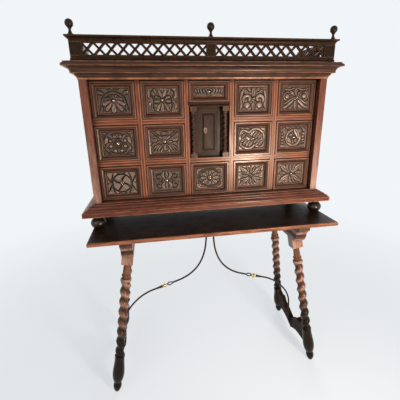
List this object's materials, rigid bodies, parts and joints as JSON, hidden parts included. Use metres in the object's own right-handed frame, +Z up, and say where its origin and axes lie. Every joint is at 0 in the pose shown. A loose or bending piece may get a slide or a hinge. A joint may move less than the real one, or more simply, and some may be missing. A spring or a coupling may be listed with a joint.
{
  "type": "vargueno",
  "caption": "Open-fronted writing cabinet with carved drawers, a colonnetted central cupboard and a pierced gallery, on a splayed trestle stand with twisted legs and bowed irons.",
  "frame": {"origin": "on the floor under the middle of the stand, halfway along the width and the depth of the table top", "axes": "+Z up, +X to the right of someone facing the drawers, -Y out of the drawer fronts"},
  "size_m": [1.202, 0.495, 1.695],
  "materials": {
    "walnut_stand": "waxed walnut, worn to a warm brown on the turned legs",
    "walnut_case": "waxed reddish-brown walnut",
    "walnut_carved": "carved walnut, darkened in the ground of the carving",
    "walnut_dark": "near-black stained and polished walnut",
    "drawer_lining": "plain unpolished pine",
    "wrought_iron": "forged iron, dark and slightly rough",
    "brass": "old polished brass"
  },
  "bodies": {
    "case_and_stand": {"table_top": "walnut_stand", "trestle_crossbars": "walnut_stand", "trestle_legs": "walnut_stand", "trestle_stretchers": "walnut_stand", "bowed_irons": "wrought_iron", "brass_knops": "brass", "case_boards": "walnut_case", "case_back": "walnut_case", "partitions": "walnut_case", "shelves": "walnut_case", "base_moulding": "walnut_case", "cornice": "walnut_dark", "bun_feet": "walnut_dark", "gallery": "walnut_dark", "finials": "walnut_dark", "colonnettes": "walnut_dark"},
    "drawer_row1_col1": {"drawer_front_row1_col1": "walnut_carved", "drawer_box_row1_col1": "drawer_lining", "drawer_knob_row1_col1": "brass"},
    "drawer_row1_col2": {"drawer_front_row1_col2": "walnut_carved", "drawer_box_row1_col2": "drawer_lining", "drawer_knob_row1_col2": "brass"},
    "drawer_row1_col3": {"drawer_front_row1_col3": "walnut_carved", "drawer_box_row1_col3": "drawer_lining", "drawer_knob_row1_col3": "brass"},
    "drawer_row1_col4": {"drawer_front_row1_col4": "walnut_carved", "drawer_box_row1_col4": "drawer_lining", "drawer_knob_row1_col4": "brass"},
    "drawer_row1_col5": {"drawer_front_row1_col5": "walnut_carved", "drawer_box_row1_col5": "drawer_lining", "drawer_knob_row1_col5": "brass"},
    "drawer_row2_col1": {"drawer_front_row2_col1": "walnut_carved", "drawer_box_row2_col1": "drawer_lining", "drawer_knob_row2_col1": "brass"},
    "drawer_row2_col2": {"drawer_front_row2_col2": "walnut_carved", "drawer_box_row2_col2": "drawer_lining", "drawer_knob_row2_col2": "brass"},
    "drawer_row2_col4": {"drawer_front_row2_col4": "walnut_carved", "drawer_box_row2_col4": "drawer_lining", "drawer_knob_row2_col4": "brass"},
    "drawer_row2_col5": {"drawer_front_row2_col5": "walnut_carved", "drawer_box_row2_col5": "drawer_lining", "drawer_knob_row2_col5": "brass"},
    "drawer_row3_col1": {"drawer_front_row3_col1": "walnut_carved", "drawer_box_row3_col1": "drawer_lining", "drawer_knob_row3_col1": "brass"},
    "drawer_row3_col2": {"drawer_front_row3_col2": "walnut_carved", "drawer_box_row3_col2": "drawer_lining", "drawer_knob_row3_col2": "brass"},
    "drawer_row3_col3": {"drawer_front_row3_col3": "walnut_carved", "drawer_box_row3_col3": "drawer_lining", "drawer_knob_row3_col3": "brass"},
    "drawer_row3_col4": {"drawer_front_row3_col4": "walnut_carved", "drawer_box_row3_col4": "drawer_lining", "drawer_knob_row3_col4": "brass"},
    "drawer_row3_col5": {"drawer_front_row3_col5": "walnut_carved", "drawer_box_row3_col5": "drawer_lining", "drawer_knob_row3_col5": "brass"},
    "cupboard": {"cupboard_door": "walnut_dark", "door_fittings": "wrought_iron"}
  },
  "joints": [
    {"name": "drawer_row1_col1_slide", "type": "slide", "parent": "case_and_stand", "child": "drawer_row1_col1", "axis": [0, -1, 0], "range_m": [0, 0.19]},
    {"name": "drawer_row1_col2_slide", "type": "slide", "parent": "case_and_stand", "child": "drawer_row1_col2", "axis": [0, -1, 0], "range_m": [0, 0.19]},
    {"name": "drawer_row1_col3_slide", "type": "slide", "parent": "case_and_stand", "child": "drawer_row1_col3", "axis": [0, -1, 0], "range_m": [0, 0.19]},
    {"name": "drawer_row1_col4_slide", "type": "slide", "parent": "case_and_stand", "child": "drawer_row1_col4", "axis": [0, -1, 0], "range_m": [0, 0.19]},
    {"name": "drawer_row1_col5_slide", "type": "slide", "parent": "case_and_stand", "child": "drawer_row1_col5", "axis": [0, -1, 0], "range_m": [0, 0.19]},
    {"name": "drawer_row2_col1_slide", "type": "slide", "parent": "case_and_stand", "child": "drawer_row2_col1", "axis": [0, -1, 0], "range_m": [0, 0.19]},
    {"name": "drawer_row2_col2_slide", "type": "slide", "parent": "case_and_stand", "child": "drawer_row2_col2", "axis": [0, -1, 0], "range_m": [0, 0.19]},
    {"name": "drawer_row2_col4_slide", "type": "slide", "parent": "case_and_stand", "child": "drawer_row2_col4", "axis": [0, -1, 0], "range_m": [0, 0.19]},
    {"name": "drawer_row2_col5_slide", "type": "slide", "parent": "case_and_stand", "child": "drawer_row2_col5", "axis": [0, -1, 0], "range_m": [0, 0.19]},
    {"name": "drawer_row3_col1_slide", "type": "slide", "parent": "case_and_stand", "child": "drawer_row3_col1", "axis": [0, -1, 0], "range_m": [0, 0.19]},
    {"name": "drawer_row3_col2_slide", "type": "slide", "parent": "case_and_stand", "child": "drawer_row3_col2", "axis": [0, -1, 0], "range_m": [0, 0.19]},
    {"name": "drawer_row3_col3_slide", "type": "slide", "parent": "case_and_stand", "child": "drawer_row3_col3", "axis": [0, -1, 0], "range_m": [0, 0.19]},
    {"name": "drawer_row3_col4_slide", "type": "slide", "parent": "case_and_stand", "child": "drawer_row3_col4", "axis": [0, -1, 0], "range_m": [0, 0.19]},
    {"name": "drawer_row3_col5_slide", "type": "slide", "parent": "case_and_stand", "child": "drawer_row3_col5", "axis": [0, -1, 0], "range_m": [0, 0.19]},
    {"name": "cupboard_hinge", "type": "hinge", "parent": "case_and_stand", "child": "cupboard", "pos_m": [0.0532, 0.0085, 1.1335], "axis": [0, 0, 1], "range_deg": [0, 90]}
  ]
}
